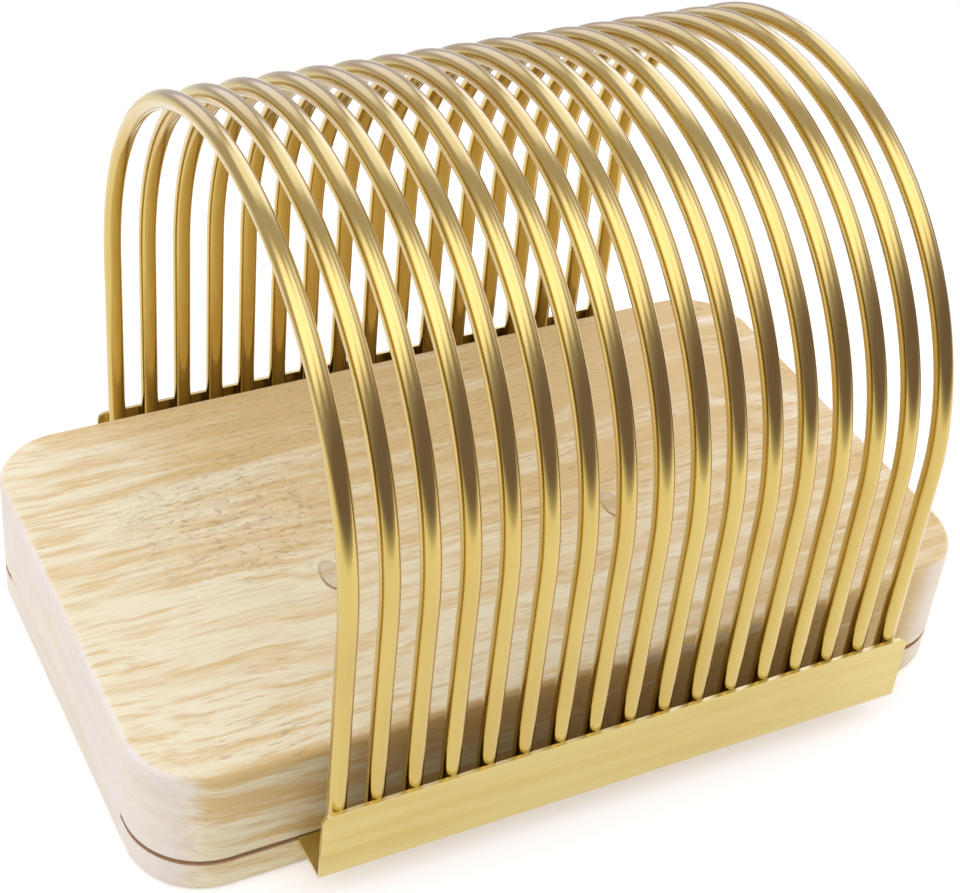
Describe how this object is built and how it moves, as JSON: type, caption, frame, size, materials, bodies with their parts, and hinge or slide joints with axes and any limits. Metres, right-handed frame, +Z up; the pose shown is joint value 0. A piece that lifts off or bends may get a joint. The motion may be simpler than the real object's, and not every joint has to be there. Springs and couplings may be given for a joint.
{
  "type": "bread slicing rack",
  "caption": "Solid wooden board with a slot low in each long side, and a gold-coloured frame of round-wire arches on L-shaped rails that slides along it.",
  "frame": {"origin": "middle of the board's underside, on the surface that the board stands on", "axes": "+X along the board and its grain, the way the frame slides; +Y across the board, from the front rail to the rear rail; +Z up through the arches"},
  "size_m": [0.24, 0.168, 0.17],
  "materials": {
    "board_wood": "bare, fine sanded",
    "rail_metal": "satin gold-coloured sheet",
    "wire_metal": "bright gold-coloured wire"
  },
  "bodies": {
    "board": {"base_board": "board_wood"},
    "slicing_frame": {"front_rail": "rail_metal", "rear_rail": "rail_metal", "wire_arch_01": "wire_metal", "wire_arch_02": "wire_metal", "wire_arch_03": "wire_metal", "wire_arch_04": "wire_metal", "wire_arch_05": "wire_metal", "wire_arch_06": "wire_metal", "wire_arch_07": "wire_metal", "wire_arch_08": "wire_metal", "wire_arch_09": "wire_metal", "wire_arch_10": "wire_metal", "wire_arch_11": "wire_metal", "wire_arch_12": "wire_metal", "wire_arch_13": "wire_metal", "wire_arch_14": "wire_metal", "wire_arch_15": "wire_metal", "wire_arch_16": "wire_metal", "wire_arch_17": "wire_metal"}
  },
  "joints": [
    {"name": "frame_slide", "type": "slide", "parent": "board", "child": "slicing_frame", "axis": [1, 0, 0], "range_m": [-0.1225, 0.1175]}
  ]
}
